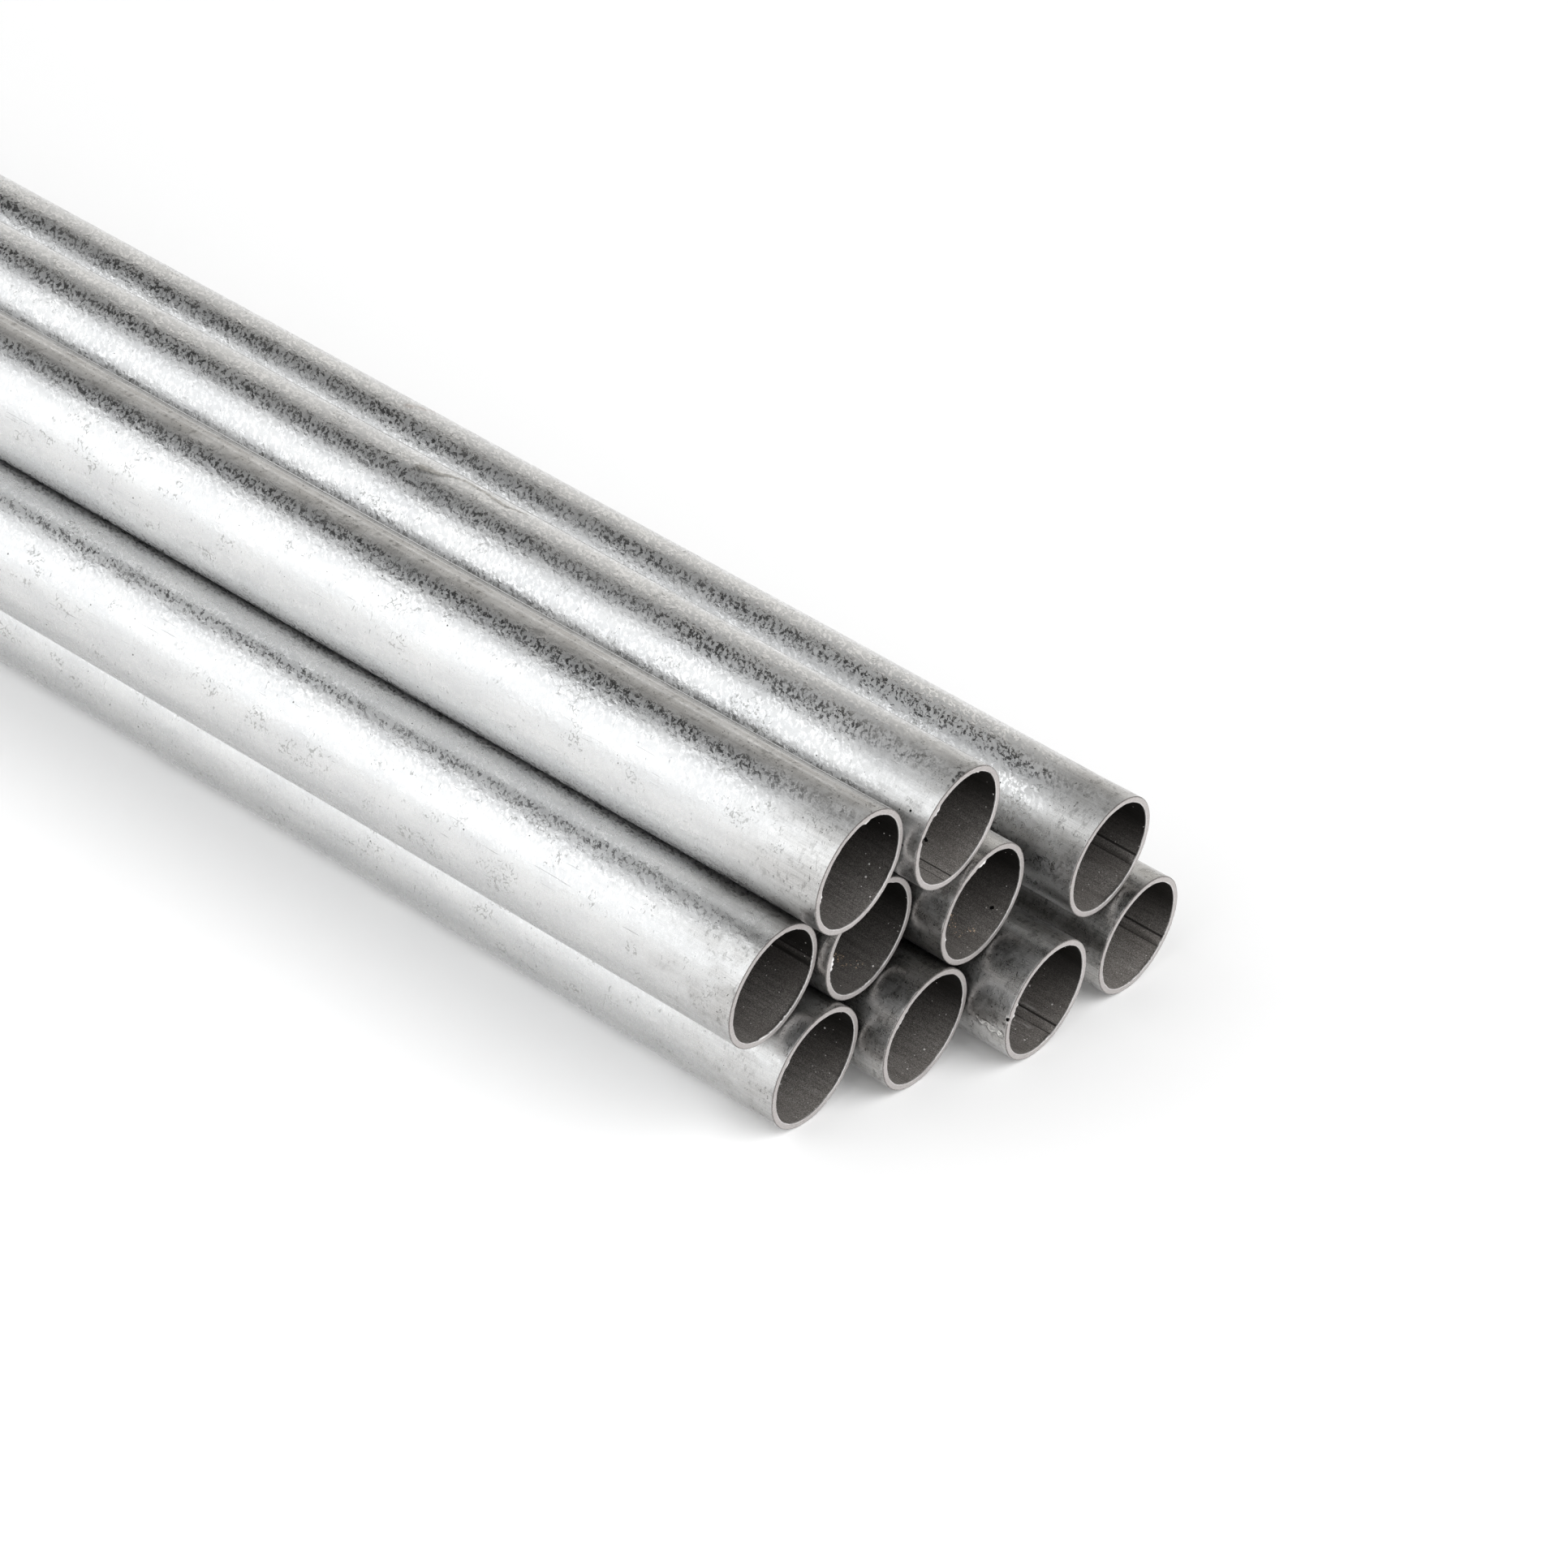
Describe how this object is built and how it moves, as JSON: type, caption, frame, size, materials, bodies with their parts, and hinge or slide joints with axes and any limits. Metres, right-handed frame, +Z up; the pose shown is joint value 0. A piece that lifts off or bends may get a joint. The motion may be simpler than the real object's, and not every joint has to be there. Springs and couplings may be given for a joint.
{
  "type": "stack of steel tubes",
  "caption": "Loose stack of straight thin-walled round steel tubes with a zinc-coated outside, lying nested with their sawn ends slightly out of line.",
  "frame": {"origin": "on the floor, under the middle of the stack's length and width", "axes": "+X along the tubes towards the ends that stand out in steps, +Y across the stack, +Z up"},
  "size_m": [1.0256, 0.1524, 0.0879],
  "materials": {
    "zinc_coated_steel": "satin"
  },
  "bodies": {
    "root": {"tube_bottom_1": "zinc_coated_steel", "tube_bottom_2": "zinc_coated_steel", "tube_bottom_3": "zinc_coated_steel", "tube_bottom_4": "zinc_coated_steel", "tube_middle_1": "zinc_coated_steel", "tube_middle_2": "zinc_coated_steel", "tube_middle_3": "zinc_coated_steel", "tube_leaning": "zinc_coated_steel", "tube_top_1": "zinc_coated_steel", "tube_top_2": "zinc_coated_steel"}
  },
  "joints": []
}
